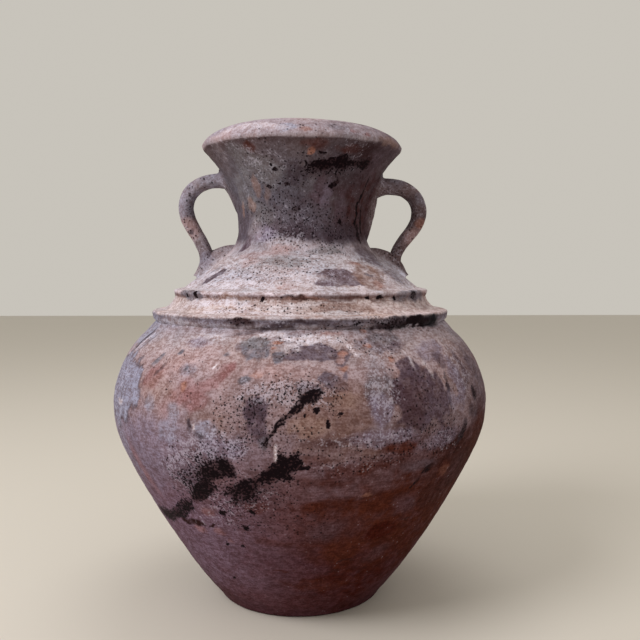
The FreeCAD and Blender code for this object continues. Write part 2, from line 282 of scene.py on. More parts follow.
# height, colour: the clay's colour up the outside, before any patches. It holds painted shade: darker
# towards the bottom, partly painted shade on the underside, a dark band under the lower ridge's crest, a
# dark line in the groove under the upper ridge, and darker just under the lip's flare.
GROUND_WITH_PAINTED_SHADE = (
    (0, (78, 46, 52)), (50, (90, 60, 68)), (100, (86, 54, 63)), (160, (98, 72, 80)), (205, (108, 84, 92)),
    (240, (124, 104, 114)), (262, (132, 112, 118)), (290, (144, 122, 126)), (320, (152, 130, 134)),
    (345, (158, 142, 146)), (360, (150, 136, 144)), (366, (150, 140, 150)), (370, (120, 110, 122)),
    (373.4, (104, 94, 104)), (375.5, (180, 164, 168)), (378, (192, 175, 176)), (394, (184, 168, 170)),
    (395.5, (132, 110, 108)), (398.5, (116, 96, 98)), (400, (188, 172, 180)), (404, (190, 178, 184)),
    (420, (184, 174, 184)), (440, (180, 171, 179)), (455, (164, 152, 160)), (468, (90, 80, 90)),
    (500, (88, 80, 90)), (540, (97, 91, 100)), (575, (98, 86, 92)), (582, (88, 72, 76)),
    (583.6, (158, 144, 152)), (598, (156, 142, 151)), (612, (166, 152, 160)),
)

# colour, azimuth, height, half width, half height, tilt, strength, softness of its edge
WASHES_AND_PAINTED_LIGHT = (
    # Broad tones: violet down the left, brown and dark down the right. They are partly the clay's own
    # colour and partly painted light: paler and bluer down the lit left side, and painted shade down the
    # right and over the lower body.
    ("heather", -46, 120, 110, 84, 0, 0.85, 0.7), ("violet", -52, 226, 110, 44, 0, 0.6, 0.6),
    ("pale_blue", -76, 250, 60, 110, 0, 0.5, 0.5), ("bark", 48, 150, 130, 96, 0, 0.92, 0.6),
    ("burnt", 30, 54, 80, 60, 0, 0.8, 0.7), ("dusk", 66, 214, 90, 40, 0, 0.85, 0.6),
    ("smoke", 68, 292, 62, 60, 0, 0.75, 0.6), ("dusk", 62, 525, 62, 66, 0, 0.85, 0.6),
    ("char", 32, 560, 44, 34, 0, 0.6, 0.6), ("smoke", 66, 440, 30, 36, 0, 0.3, 0.6),
    ("pale_blue", -72, 352, 46, 22, 0, 0.7, 0.5), ("rust", 14, 150, 80, 60, 0, 0.5, 0.7),
    ("bark", 44, 222, 90, 22, 0, 0.65, 0.5), ("bark", 68, 226, 50, 40, 0, 0.75, 0.6),
    ("ochre", 8, 240, 56, 14, 0, 0.65, 0.5), ("dusk", 8, 250, 26, 8, 0, 0.6, 0.5),
    ("mauve", -16, 250, 10, 8, 0, 0.5, 0.5), ("umber", 50, 214, 46, 26, 0, 0.5, 0.6),
    ("umber", 48, 172, 40, 24, 0, 0.4, 0.6), ("bark", 14, 120, 46, 34, 0, 0.5, 0.6),
    ("bark", 34, 104, 50, 40, 0, 0.6, 0.6),
    # The leaf-shaped flake on the far left, with a dark outline
    ("char", -70, 288, 90, 41, 0, 0.75, 0.06), ("lilac", -70.5, 288, 84, 37, 0, 0.95, 0.07),
    ("char", -67, 343, 2.5, 24, -24, 0.7, 0.4), ("char", -60, 347, 2, 20, -30, 0.6, 0.4),
    ("chalk", -64, 346, 2, 20, -26, 0.5, 0.4), ("slate", -72, 300, 2, 18, -8, 0.7, 0.3),
    ("slate", -62, 284, 2, 16, 6, 0.7, 0.3), ("chalk", -62, 272, 8, 3, 0, 0.6, 0.5),
    # Reds and pinks of the upper body
    ("red", -46, 307, 17, 13, 20, 0.75, 0.35), ("red", -32, 304, 10, 8, 0, 0.5, 0.5),
    ("red", -21, 319, 9, 15, -30, 0.85, 0.3), ("red", -26, 305, 8, 20, -58, 0.6, 0.4),
    ("red", -34, 293, 13, 8, 0, 0.7, 0.4), ("red", -28, 288, 14, 9, 0, 0.65, 0.4),
    ("red", -38, 278, 8, 12, 0, 0.4, 0.5), ("pink", -36, 326, 26, 14, 20, 0.5, 0.5),
    ("rose", -27, 336, 24, 18, 0, 0.6, 0.5), ("pink", -6, 322, 24, 7, 0, 0.6, 0.5),
    ("mauve", -18.5, 345, 5, 9, -20, 0.6, 0.4), ("pale_blue", -33, 320, 12, 8, 0, 0.5, 0.4),
    ("pale_blue", -44, 280, 10, 9, 0, 0.6, 0.3), ("pale_blue", -35, 276, 9, 10, 0, 0.5, 0.4),
    ("tan", -42, 296, 26, 16, 0, 0.4, 0.5), ("tan", -24, 266, 26, 14, 0, 0.4, 0.5),
    ("lilac", -37, 254, 14, 12, 0, 0.45, 0.4), ("lilac", -25, 258, 15, 10, 0, 0.7, 0.3),
    ("violet", -20, 238, 28, 14, 0, 0.6, 0.4),
    # Small slate spots
    ("slate", -22, 337, 6, 5, 30, 0.9, 0.25), ("slate", -38.5, 336, 5, 3.6, 20, 0.9, 0.25),
    ("slate", -47, 327, 5, 12, -38, 0.9, 0.25), ("slate", -33.5, 322, 4.5, 3, 20, 0.9, 0.25),
    ("slate", -15, 313, 6, 5, 30, 0.85, 0.25), ("char", -29.5, 260, 2.6, 9, 0, 0.8, 0.3),
    ("char", -26.5, 253, 8, 3, -12, 0.7, 0.3), ("char", -44, 318, 2, 10, -36, 0.5, 0.4),
    # Grey patches with crisp edges
    ("slate", -13.2, 343, 19, 17, 0, 0.8, 0.10), ("moss", -14, 350, 16, 9, 0, 0.6, 0.2),
    ("slate", -5.8, 337, 7, 10, 0, 0.85, 0.12), ("mauve", 5, 341, 24, 10, -6, 0.95, 0.08),
    ("mauve", -1, 337, 14, 5, 12, 0.9, 0.1), ("mauve", 12, 335, 9, 11, 0, 0.8, 0.10),
    ("mauve", 25, 350, 30, 13, 4, 0.6, 0.14), ("moss", 27, 354, 20, 8, 0, 0.35, 0.3),
    ("plum", 31, 344, 12, 6, 20, 0.5, 0.2), ("mauve", 8.4, 312, 15, 8, -24, 0.95, 0.08),
    ("mauve", 12, 318, 4, 8, -8, 0.95, 0.10), ("mauve", 9.2, 298, 3.4, 9, 4, 0.95, 0.12),
    ("slate", 9.8, 293, 1.8, 4, 0, 0.7, 0.3), ("mauve", 12.8, 296, 2.2, 4, 0, 0.8, 0.2),
    ("mauve", 2, 306, 12, 6, 0, 0.7, 0.2), ("plum", -11, 280, 17, 16, 0, 0.95, 0.10),
    ("char", -11, 282, 13, 13, 0, 0.5, 0.3), ("plum", -10.5, 262, 14, 17, 8, 0.9, 0.12),
    ("char", -10, 265, 10, 12, 0, 0.35, 0.4), ("slate", -9, 250, 9, 8, 0, 0.6, 0.2),
    # The ochre field and what runs over it
    ("ochre", 10, 274, 52, 22, 0, 0.8, 0.16), ("tan", 2, 268, 22, 10, 0, 0.6, 0.3),
    ("ochre", 14, 300, 22, 16, 0, 0.6, 0.3), ("tan", 12, 292, 14, 8, 0, 0.5, 0.4),
    ("slate", 21, 306, 18, 26, 0, 0.6, 0.3), ("plum", 18, 288, 6, 8, 20, 0.5, 0.4),
    ("char", 23, 312, 4, 7, -20, 0.4, 0.5), ("violet", 20.5, 278, 13, 20, 0, 0.7, 0.3),
    ("plum", 34.5, 292, 41, 33, -6, 0.96, 0.08), ("plum", 31.5, 322, 14, 16, 8, 0.9, 0.10),
    ("dusk", 30, 285, 18, 26, 0, 0.5, 0.4), ("dusk", 40, 300, 10, 20, 0, 0.2, 0.4),
    ("char", 44.8, 290, 2.2, 25, -4, 0.85, 0.2), ("violet", 50, 302, 14, 34, 4, 0.6, 0.3),
    ("violet", 46, 281, 9, 12, 0, 0.5, 0.5), ("violet", 44, 338, 26, 14, 10, 0.55, 0.4),
    ("tan", 48, 292, 6, 7, 0, 0.5, 0.4), ("plum", 46, 326, 8, 14, 8, 0.7, 0.2),
    ("char", 59, 281, 7, 10, 0, 0.7, 0.3), ("plum", 56, 320, 6, 26, 10, 0.6, 0.3),
    ("violet", 21, 250, 38, 9, 0, 0.6, 0.4), ("violet", 40, 240, 34, 10, 10, 0.5, 0.4),
    ("char", 51, 246, 6, 18, -30, 0.75, 0.3), ("char", 56, 262, 16, 9, 0, 0.5, 0.4),
    # Chalky streaks under the lower ridge
    ("chalk", -10, 358, 16, 3.5, 0, 0.7, 0.3), ("chalk", 2, 355, 36, 3.4, 3, 0.85, 0.2),
    ("chalk", 1, 350, 16, 2.2, 12, 0.7, 0.3), ("chalk", -3, 345, 9, 3, -16, 0.6, 0.3),
    ("chalk", 14, 348, 2.4, 17, 28, 0.7, 0.3), ("chalk", 10, 354, 12, 4, -10, 0.5, 0.4),
    ("chalk", -29, 354, 30, 5, 0, 0.5, 0.5), ("violet", -34, 348, 16, 7, 0, 0.5, 0.4),
    ("chalk", 33, 330, 2.4, 12, 14, 0.5, 0.4), ("chalk", 38, 322, 2.4, 16, 20, 0.5, 0.4),
    # Orange spots
    ("orange", -7.2, 350, 6, 3, -6, 0.95, 0.2), ("orange", -8, 345, 3, 3, 0, 0.7, 0.4),
    ("orange", 12, 339, 6, 4, -20, 0.8, 0.3), ("pink", 11.6, 334, 6, 5, 0, 0.7, 0.3),
    ("orange", 12, 325, 8, 3.4, 0, 0.85, 0.3), ("orange", 20.7, 346, 4, 3, 0, 0.85, 0.3),
    ("orange", 21, 361.5, 6, 2.4, 0, 0.8, 0.3), ("pink", 10, 359, 12, 2.6, 0, 0.8, 0.3),
    ("orange", 27, 332, 3.6, 3, 0, 0.8, 0.3), ("orange", -33, 303, 4, 3, 0, 0.8, 0.4),
    ("orange", 46.7, 197, 9, 7, -30, 0.45, 0.4), ("orange", -12, 318, 7, 3, 0, 0.6, 0.4),
    # Lower body
    ("rust", 3, 229, 20, 10, 10, 0.45, 0.5), ("rust", 14, 217, 26, 8, 0, 0.65, 0.35),
    ("rust", 26, 237, 22, 6, 0, 0.7, 0.3), ("rust", 46, 198, 12, 12, -20, 0.5, 0.5),
    ("bark", 8, 206, 34, 7, 0, 0.4, 0.4), ("smoke", 34, 214, 26, 9, 0, 0.55, 0.4),
    ("umber", 38, 206, 4, 10, -40, 0.85, 0.3), ("umber", 34.5, 191, 3.4, 9, -36, 0.85, 0.3),
    ("bark", 16, 174, 58, 12, 2, 0.75, 0.4), ("rust", 6, 172, 22, 9, 0, 0.35, 0.5),
    ("rust", 20, 168, 26, 9, 0, 0.5, 0.3), ("orange", 18.4, 184, 8, 2, 0, 0.6, 0.4),
    ("plum", 34, 163, 17, 13, -30, 0.35, 0.5), ("umber", 38, 141, 14, 1.6, 14, 0.8, 0.3),
    ("plum", 8, 140, 22, 14, 20, 0.4, 0.6), ("burnt", 27, 130, 22, 13, 14, 0.9, 0.2),
    ("rust", 16, 111, 28, 15, 10, 0.6, 0.45), ("plum", 30, 98, 18, 12, 30, 0.25, 0.6),
    ("umber", 17, 94, 15, 1.5, 6, 0.7, 0.3), ("rust", 9, 58, 42, 11, 0, 0.5, 0.5),
    ("burnt", 16, 66, 16, 8, 0, 0.6, 0.3), ("bark", -7.5, 83, 11, 2.2, 0, 0.85, 0.3),
    ("rust", -13, 170, 12, 7, 0, 0.55, 0.4), ("rust", -9, 124, 22, 5, 0, 0.4, 0.4),
    ("red", -55, 200, 8, 34, 18, 0.5, 0.6), ("red", -30, 158, 9, 7, 0, 0.6, 0.4),
    ("red", -37, 129, 8, 5, 0, 0.6, 0.4), ("red", -28, 131, 7, 5, 0, 0.55, 0.4),
    ("red", -25, 120, 4, 3, 0, 0.5, 0.4), ("umber", -39, 137, 20, 4.4, 8, 0.95, 0.15),
    ("umber", -30.5, 139, 7, 2.4, 24, 0.95, 0.2), ("umber", 12, 78, 12, 1.4, 10, 0.5, 0.3),
    ("dusk", -14, 96, 40, 26, 0, 0.25, 0.6),
    # Ridges and collar. The dark band along 371 mm, under the lower ridge's crest, is partly painted
    # shade, and the thin umber and bark lines at about 397 mm are a painted shadow in the groove under the
    # upper ridge.
    ("slate", -55, 400.5, 26, 6, 0, 0.8, 0.14), ("slate", 56, 399, 40, 6, 0, 0.8, 0.3),
    ("chalk", -36, 391, 50, 5, 0, 0.9, 0.4), ("chalk", -24, 382, 60, 2.6, 0, 0.8, 0.3),
    ("cream", -30, 386.5, 60, 2.2, 0, 0.35, 0.4), ("tan", 16, 387, 50, 6, 0, 0.75, 0.3),
    ("tan", 2, 394.5, 60, 1.8, 0, 0.5, 0.4), ("cream", 20, 379.5, 70, 2, 0, 0.6, 0.3),
    ("smoke", 60, 388, 34, 12, 0, 0.3, 0.4), ("pale_blue", -66, 368, 44, 5, 0, 0.6, 0.4),
    ("slate", -48, 369, 14, 2.5, 0, 0.5, 0.3), ("umber", -20.5, 371, 18, 3.4, -2, 0.8, 0.4),
    ("char", 40, 371, 74, 4.2, 0, 0.9, 0.35), ("tar", 48, 371, 46, 4.8, 0, 0.9, 0.35),
    ("char", 2, 371.4, 90, 2.6, 0, 0.75, 0.5), ("chalk", -52, 368.5, 50, 3.6, 0, 0.25, 0.4),
    ("orange", -14, 379.6, 20, 1.4, 0, 0.6, 0.4), ("orange", 4, 397, 26, 1.3, 0, 0.5, 0.4),
    ("tan", -30, 397.2, 40, 1.6, 0, 0.7, 0.4), ("bark", 22, 396.8, 44, 1.4, 0, 0.6, 0.4),
    ("umber", -2, 396.8, 20, 1.3, 0, 0.7, 0.3),
    # Shoulder
    ("plum", -51, 459, 8, 16, -18, 0.85, 0.14), ("smoke", -53.4, 421, 8, 18, -42, 0.95, 0.12),
    ("slate", -60, 428, 4, 12, -40, 0.5, 0.3), ("rose", -30, 449, 30, 6, 8, 0.55, 0.3),
    ("pink", -34, 439, 12, 8, 20, 0.5, 0.4), ("moss", -10, 440, 26, 10, 0, 0.55, 0.4),
    ("moss", 18, 453, 24, 6, 0, 0.6, 0.3), ("ash", 19, 420.5, 31, 18, 0, 0.97, 0.05),
    ("tan", 38, 424, 25, 25, 10, 0.7, 0.2), ("orange", 39, 411, 9, 7, 0, 0.6, 0.35),
    ("orange", 33, 437, 9, 4, 0, 0.55, 0.35), ("slate", 37.5, 423, 9, 3.6, -10, 0.85, 0.2),
    ("orange", -8, 409, 12, 4, 0, 0.6, 0.4), ("chalk", -30, 414, 50, 7, 0, 0.7, 0.4),
    ("chalk", 38, 428, 9, 1.5, 24, 0.9, 0.3), ("chalk", 47, 420, 12, 1.5, 34, 0.8, 0.3),
    ("chalk", 0, 421, 26, 6, 0, 0.6, 0.4), ("smoke", 57, 420, 8, 15, 25, 0.6, 0.3),
    ("smoke", 52, 444, 14, 16, 0, 0.5, 0.4),
    # Neck
    ("moss", -40, 560, 20, 22, 0, 0.6, 0.3), ("moss", -24, 548, 14, 20, 0, 0.6, 0.3),
    ("moss", -50, 530, 16, 24, 0, 0.6, 0.3), ("moss", -36, 494, 16, 18, 0, 0.5, 0.4),
    ("rust", -31, 574, 9, 8, 0, 0.6, 0.35), ("orange", 5, 569, 5, 4.4, 0, 0.95, 0.25),
    ("rust", 6, 576, 16, 8, 0, 0.55, 0.4), ("rust", 30, 572, 20, 6, 0, 0.4, 0.4),
    ("char", -3, 547, 12, 16, 0, 0.7, 0.3), ("char", -5, 514, 8, 14, 0, 0.3, 0.35),
    ("tan", -36, 532, 5, 14, 6, 0.5, 0.35), ("tan", -46, 509, 5, 8, 30, 0.55, 0.4),
    ("tan", -59, 503, 3, 10, 0, 0.5, 0.3), ("tan", -28, 520, 4, 10, 0, 0.3, 0.4),
    ("plum", 13, 524, 9, 18, 0, 0.6, 0.3), ("plum", 33, 505, 8, 20, 0, 0.6, 0.35),
    ("slate", -14, 500, 12, 14, 0, 0.4, 0.4), ("violet", -36, 472, 20, 12, 0, 0.75, 0.4),
    ("chalk", -14, 462, 26, 6, 0, 0.4, 0.5), ("char", -2, 474, 28, 10, 0, 0.7, 0.5),
    ("char", 36, 473, 32, 13, 0, 0.75, 0.5), ("chalk", -44, 478, 14, 18, 0, 0.25, 0.4),
    # The umber under the lip on the right is painted shade under the lip's flare.
    ("umber", 50, 570, 36, 18, 0, 0.75, 0.5), ("pink", -16, 456, 18, 4, 0, 0.6, 0.5),
    ("violet", 20, 516, 6, 22, 0, 0.35, 0.4),
    # Lip
    ("pale_blue", -8, 595, 12, 7, 0, 0.85, 0.3), ("orange", 1, 592, 10, 3.4, 0, 0.55, 0.4),
    ("red", 36, 590, 7, 3, 0, 0.8, 0.35), ("red", 28, 594, 5, 2.4, 0, 0.5, 0.4),
    # The wash at 66 degrees on the lip is painted shade on its right side.
    ("smoke", 66, 594, 40, 30, 0, 0.6, 0.5), ("pink", -50, 592, 26, 6, 0, 0.4, 0.5),
    ("chalk", -30, 599, 50, 6, 0, 0.5, 0.5), ("pale_blue", -58, 598, 18, 8, 0, 0.4, 0.5),
    ("tan", 56, 588, 26, 5, 0, 0.5, 0.4), ("slate", 20, 597, 14, 4, 0, 0.4, 0.4),
)

# azimuth, height, half width, half height, tilt, strength
SOOT = (
    # The two dark clusters of the lower body, each with a tail down to the left
    (-22, 215, 17, 11, 26, 0.68), (-18.5, 219, 9, 12, 0, 0.75), (-26, 206, 13, 11, 30, 0.5),
    (-28, 204, 32, 26, 20, 0.42), (-30, 182, 8, 26, -50, 0.72), (-41, 153, 9, 34, -52, 0.66),
    (-55, 133, 30, 12, 8, 0.72), (-36, 184, 26, 30, 0, 0.28), (-5, 222, 17, 14, 24, 0.85),
    (-8.5, 214, 15, 9, 30, 0.75), (-1.5, 231, 10, 9, 30, 0.75), (0.5, 222.5, 9, 2.4, -4, 0.9),
    (-14, 200, 20, 9, 38, 0.5), (-17, 190, 18, 17, 20, 0.45), (-9, 206, 40, 16, 34, 0.45),
    (-24.6, 160, 3.6, 3.6, 0, 0.85), (-14.5, 164, 3.6, 3.6, 0, 0.85), (-17.9, 142.5, 3.2, 4.6, 0, 0.85),
    (-20.6, 116, 3, 3, 0, 0.8), (-27.2, 115, 3, 3, 0, 0.9), (-32, 60, 2, 5, -20, 0.9),
    (-20, 150, 24, 16, 0, 0.26),
    # The green-black streak and the drops beside it
    (2.6, 297, 9, 6, 20, 0.75), (-1.5, 285, 4.4, 13, -52, 0.75), (-5.4, 271, 3.6, 11, -44, 0.72),
    (-8.6, 250, 4, 12, -26, 0.6), (-6.8, 261, 3.2, 8, -20, 0.75), (3.9, 283, 3.6, 3, 0, 0.9),
    (6.6, 269, 2.8, 3.6, 0, 0.85), (10, 278, 2.2, 2.2, 0, 0.8), (1, 279, 2, 2, 0, 1.0),
    (-1, 300, 30, 12, 0, 0.4), (-13, 282, 20, 18, 0, 0.36), (-12, 257, 20, 18, 0, 0.3),
    (-6, 238, 20, 8, 0, 0.34), (-23, 230, 30, 10, 0, 0.3),
    # The splash under the rim, and marks lower on the neck
    (12, 554, 10, 4, 6, 0.6), (20, 557, 14, 6, 10, 0.55), (29, 558, 12, 8, 0, 0.6),
    (26, 564, 10, 5, 16, 0.6), (44.5, 558, 8, 9, 0, 0.8), (37, 558, 10, 5, 0, 0.65),
    (12, 567, 4.4, 1.8, 0, 1.0), (17.7, 561.5, 3, 2, 0, 1.0), (24, 550, 32, 14, 0, 0.42),
    (-20.2, 554, 2.2, 2, 0, 0.8), (-18.6, 549, 2.6, 2, 0, 0.8), (-17.5, 532, 3, 1.8, 0, 0.8),
    (-10.7, 532, 3.4, 1.6, 0, 0.8), (-25, 529, 3.4, 1.5, 12, 0.75), (18.9, 534, 2, 2, 0, 1.0),
    (21.8, 529, 2, 2.4, 0, 1.0), (24.4, 533, 3, 8, -20, 0.7), (57.4, 537, 2, 9, 0, 0.8),
    (56, 522, 2, 12, -8, 0.8), (54, 506, 2.2, 12, 4, 0.85), (53, 490, 2, 10, 0, 0.8),
    (34.4, 489, 3, 4, 0, 0.9), (-4.6, 503, 7, 4, 0, 0.6), (1, 566, 10, 6, 0, 0.3),
    (57, 474, 4, 14, 10, 0.7), (62, 492, 3, 22, 6, 0.75), (40, 474, 26, 9, 0, 0.2),
    (0, 472, 56, 8, 0, 0.2), (-3, 546, 20, 22, 0, 0.3),
    # Ridges
    (44, 371, 40, 4.2, 0, 0.6), (44, 370, 16, 4.4, 0, 0.8), (24, 370, 30, 3, 0, 0.45),
    (-21, 371, 13, 3, 0, 0.5), (27.5, 396.8, 3.4, 2.2, 0, 1.0), (41.3, 396, 2.8, 2, 0, 1.0),
    (33, 396.5, 6, 1.6, 0, 0.8), (56, 398, 10, 3, 0, 0.6), (-49, 401, 3.6, 3, 0, 0.9),
    (-56, 400, 3, 2.4, 0, 0.8), (-15, 396.8, 2.6, 1.8, 0, 0.9),
    # Dark diagonals on the right
    (37, 205, 4, 9, -40, 0.75), (33.8, 189, 3, 8, -36, 0.7), (51, 242, 6, 16, -30, 0.55),
    (59, 281, 5, 8, 0, 0.6), (34, 256, 20, 5, 0, 0.4), (46, 252, 20, 12, 0, 0.34),
)

# The same, for where the pale lime wash is thickest
LIME = (
    (-30, 415, 60, 16, 0, 0.8), (5, 424, 44, 16, 0, 0.5), (-35, 388, 70, 12, 0, 0.6),
    (10, 379, 90, 4, 0, 0.6), (-30, 350, 40, 12, 0, 0.5), (2, 354, 46, 8, 0, 0.7),
    (-22, 240, 46, 22, 0, 0.7), (-33, 206, 34, 34, 20, 0.7), (-14, 300, 24, 16, 0, 0.5),
    (-2, 300, 40, 16, 0, 0.85), (-14, 196, 34, 30, 30, 0.45), (-72, 292, 60, 60, 0, 0.55),
    (21, 300, 20, 38, 0, 0.75), (54, 316, 26, 40, 0, 0.55), (16, 250, 60, 9, 0, 0.6),
    (42, 236, 34, 14, 0, 0.5), (-4, 486, 50, 20, 0, 0.3), (-24, 466, 40, 12, 0, 0.75),
    (0, 600, 130, 13, 0, 0.4), (-50, 600, 60, 13, 0, 0.6), (8, 408, 90, 6, 0, 0.6),
    (56, 415, 40, 24, 0, 0.5), (-24, 552, 36, 26, 0, 0.12), (24, 345, 34, 16, 0, 0.4),
    (14, 222, 60, 12, 0, 0.4), (-26, 158, 40, 26, 0, 0.45), (12, 452, 24, 8, 0, 0.5),
    (58, 440, 30, 14, 0, 0.3),
)

# The same, for fine black stipple
SPECKS = (
    (-25, 425, 60, 22, 0, 0.5), (2, 432, 44, 18, 0, 0.55), (0, 488, 60, 20, 0, 0.55),
    (-6, 486, 60, 26, 0, 1.0), (14, 468, 40, 12, 0, 0.9), (-5, 388, 110, 12, 0, 0.42),
    (-26, 208, 56, 36, 20, 0.85), (-10, 256, 50, 24, 0, 0.7), (-1, 302, 44, 18, 0, 1.0),
    (-14, 278, 36, 24, 0, 0.8), (-14, 196, 50, 34, 20, 0.8), (0, 600, 130, 26, 0, 0.15),
    (-8, 156, 60, 30, 0, 0.4), (26, 552, 40, 14, 0, 0.5), (36, 290, 60, 50, 0, 0.3),
    (-35, 320, 60, 40, 0, 0.15), (18, 452, 30, 9, 0, 0.8), (-30, 536, 40, 30, 0, 0.15),
    (40, 240, 60, 24, 0, 0.6), (14, 230, 50, 22, 0, 0.6), (20, 345, 40, 16, 0, 0.5),
    (-8, 345, 30, 16, 0, 0.4), (26, 372, 90, 5, 0, 0.8), (-4, 536, 36, 26, 0, 0.3),
)

# Fresh scratches that show pale clay through everything: azimuth, height, half width, half height, tilt
SCRATCHES = ((-6.32, 238, 1.3, 9, 0), (-24.5, 325, 1.2, 4, -40), (-28, 262, 1.2, 4, 10))


# What the ground is multiplied by where the cool film is worn through, and where it is thick
WARM_TINT, COOL_TINT = (0.70, 0.61, 0.58, 1.0), (1.30, 1.38, 1.42, 1.0)
DARKEST, PALEST = 0.003, 0.9
# How far noise bends a stroke's outline, as a share of its size
WOBBLE = 0.34
# Where copies of the front's marks go: turn in degrees, share of the rows that is copied there
COPIES = ((180, 1.0), (105, 0.45), (-105, 0.45))


def linear(colour):
    """sRGB from 0 to 255 as linear light from 0 to 1."""
    share = np.asarray(colour, float) / 255
    return np.where(share > 0.04045, ((share + 0.055) / 1.055) ** 2.4, share / 12.92)


def stroke(points, wobble, azimuth, height, half_width, half_height, tilt, softness=0.4):
    """Which points one patch of the wall reaches, and each one's share, 1 inside and 0 outside.
    The patch's long axis leans left by tilt; wobble bends its outline."""
    centre, level, rise, out = wall_frame(np.radians(float(azimuth)), height * MM)
    reach = 1.4 * (1 + softness) * max(half_width, half_height) * MM
    near = np.flatnonzero(abs(points[:, 2] - centre[2]) < reach)
    near = near[np.all(abs(points[near, :2] - centre[:2]) < reach, axis=1)]
    away = points[near] - centre
    side, up = away @ level, away @ rise
    lean = math.radians(tilt)
    across = (math.cos(lean) * side + math.sin(lean) * up) / (half_width * MM)
    along = (math.cos(lean) * up - math.sin(lean) * side) / (half_height * MM)
    depth = (away @ out) / (0.5 * MM * (half_width + half_height) + 0.03)
    distance = np.sqrt(across ** 2 + along ** 2 + depth ** 2) + WOBBLE * wobble[near]
    return near, smooth(1 + softness, 1 - softness, distance)


def all_round(rows, first, seed):
    """Every row with False, then jittered copies for the sides and the back with True."""
    random = np.random.default_rng(seed)
    copies = []
    for turn, keep in COPIES:
        for row in rows:
            chosen, turned, raised, leaned = random.random(4)
            if chosen > keep:
                continue
            copy = list(row)
            copy[first] = row[first] + turn + 24 * (turned - 0.5)
            copy[first + 1] = row[first + 1] + (12 * (raised - 0.5) if 60 < row[first + 1] < 345 else 0)
            copy[first + 4] = -row[first + 4] + 40 * (leaned - 0.5)
            copies.append(tuple(copy))
    return [(row, False) for row in rows] + [(copy, True) for copy in copies]


def painted(points, shown):
    """Each point's ground colour, with its painted shade and painted light, and the amounts of lime, soot
    and black stipple on it.
    """
    ragged = points + 0.003 * noise_vector(points, 0.013, 20) + 0.0014 * noise_vector(points, 0.005, 30)
    wobble = (noise(points, 0.036, 36) + 0.6 * noise(points, 0.014, 37)
              + 0.4 * noise(points, 0.006, 38))
    # The ground colours by height hold painted shade: towards the bottom, under the ridges and under the
    # lip.
    levels, colours = zip(*GROUND_WITH_PAINTED_SHADE)
    height = (points[:, 2] + 0.0008 * noise(points, 0.03, 40)) / MM
    channels = np.transpose(linear(colours))
    ground = np.stack([np.interp(height, levels, channel) for channel in channels], 1)
    cloud = noise(points, 0.06, 41) + 0.6 * noise(ragged, 0.024, 44) + 0.4 * noise(ragged, 0.01, 47)
    warm = noise(ragged, 0.045, 50)
    ground = ground * (1 + 0.14 * cloud)[:, None] * (1 + np.outer(warm, [0.07, 0.0, -0.05]))
    uneven = 1 + 0.3 * noise(ragged, 0.012, 53) + 0.3 * noise(ragged, 0.0055, 54)
    behind = smooth(math.radians(78), math.radians(92), abs(turn_of(points)))
    for (name, azimuth, level, wide, high, tilt, strength, softness), copied in all_round(WASHES_AND_PAINTED_LIGHT, 1, 5):
        near, share = stroke(ragged, wobble, azimuth, level, wide, high, tilt, softness)
        if copied:
            share = share * behind[near]
        share = np.clip(strength * share * uneven[near], 0, 1)[:, None]
        ground[near] += (linear(PALETTE[name]) - ground[near]) * share
    ground *= (1 + 0.12 * noise(ragged, 0.008, 55))[:, None]
    layers = []
    for rows, seed in ((LIME, 6), (SOOT, 7), (SPECKS, 8)):
        clear = np.ones(len(points))
        for (azimuth, level, wide, high, tilt, strength), copied in all_round(rows, 0, seed):
            near, share = stroke(ragged, wobble, azimuth, level, wide, high, tilt, 0.5)
            if copied:
                share = share * behind[near]
            clear[near] *= 1 - strength * share
        layers.append(1 - clear)
    inner = linear(PALETTE["inside"]) * (1 + 0.25 * cloud)[:, None]
    ground = np.where(shown[:, None], ground, inner)
    layers = np.stack(layers, axis=1) * shown[:, None]
    for azimuth, level, wide, high, tilt in SCRATCHES:
        near, share = stroke(points, 0 * wobble, azimuth, level, wide, high, tilt, 0.3)
        ground[near] += (linear(PALETTE["chalk"]) - ground[near]) * share[:, None]
        layers[near] *= 1 - share[:, None]
    return np.clip(ground, DARKEST, PALEST), np.clip(layers, 0, 1)


# ---------------- materials

